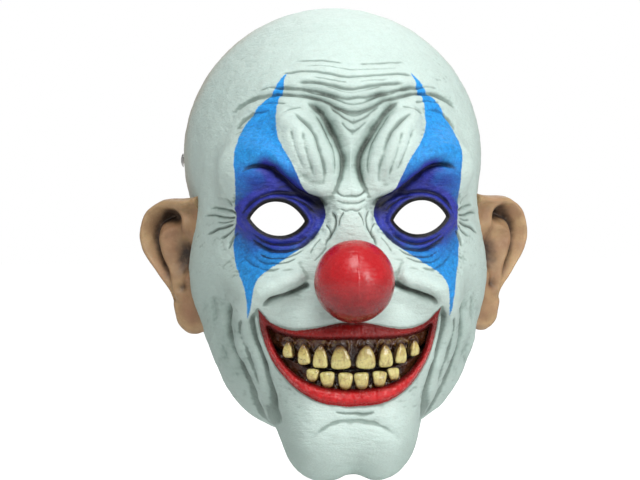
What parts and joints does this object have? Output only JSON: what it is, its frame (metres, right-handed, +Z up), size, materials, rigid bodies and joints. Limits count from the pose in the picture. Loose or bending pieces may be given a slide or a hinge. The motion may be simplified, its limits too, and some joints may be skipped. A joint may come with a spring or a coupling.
{
  "type": "latex clown mask",
  "caption": "Full-face latex clown mask with ears, ball nose and grinning teeth, open at the back, with an elastic head strap.",
  "frame": {"origin": "middle of the wearer's head, on the mask's mirror plane, level with the middle of the eye openings and a little in front of the ears", "axes": "+Z up the face from chin to crown, the face looks along -Y, +X is the wearer's left"},
  "size_m": [0.2468, 0.2473, 0.2943],
  "materials": {
    "painted_latex": "matte painted latex, pale mint white with blue eye patches and red lips",
    "flesh_latex": "matte flesh-painted latex",
    "red_gloss_latex": "glossy red paint",
    "gum_latex": "glossy dark brown-red paint",
    "tooth_latex": "glossy yellowed ivory paint, browner at the roots",
    "bare_latex": "unpainted latex",
    "black_elastic": "woven black elastic",
    "black_plastic": "moulded black",
    "rivet_steel": "nickel-plated"
  },
  "bodies": {
    "mask": {"face_skin": "painted_latex", "left_ear": "flesh_latex", "right_ear": "flesh_latex", "nose_ball": "red_gloss_latex", "gum_plate": "gum_latex", "upper_tooth_1": "tooth_latex", "upper_tooth_2": "tooth_latex", "upper_tooth_3": "tooth_latex", "upper_tooth_4": "tooth_latex", "upper_tooth_5": "tooth_latex", "upper_tooth_6": "tooth_latex", "upper_tooth_7": "tooth_latex", "upper_tooth_8": "tooth_latex", "lower_tooth_1": "tooth_latex", "lower_tooth_2": "tooth_latex", "lower_tooth_3": "tooth_latex", "lower_tooth_4": "tooth_latex", "lower_tooth_5": "tooth_latex", "lower_tooth_6": "tooth_latex", "left_patch": "bare_latex", "right_patch": "bare_latex", "left_rivet": "rivet_steel", "right_rivet": "rivet_steel", "left_washer": "rivet_steel", "right_washer": "rivet_steel"},
    "strap": {"left_strap": "black_elastic", "right_strap": "black_elastic", "strap_ring": "rivet_steel", "strap_return": "black_elastic"},
    "slider": {"strap_slider": "black_plastic"}
  },
  "joints": [
    {"name": "strap_swing", "type": "hinge", "parent": "mask", "child": "strap", "pos_m": [0, 0.046, 0.038], "axis": [1, 0, 0], "range_deg": [-40, 30]},
    {"name": "slider_slide", "type": "slide", "parent": "strap", "child": "slider", "axis": [1, 0, 0], "range_m": [-0.012, 0.012], "deforming": ["strap_return"]}
  ]
}
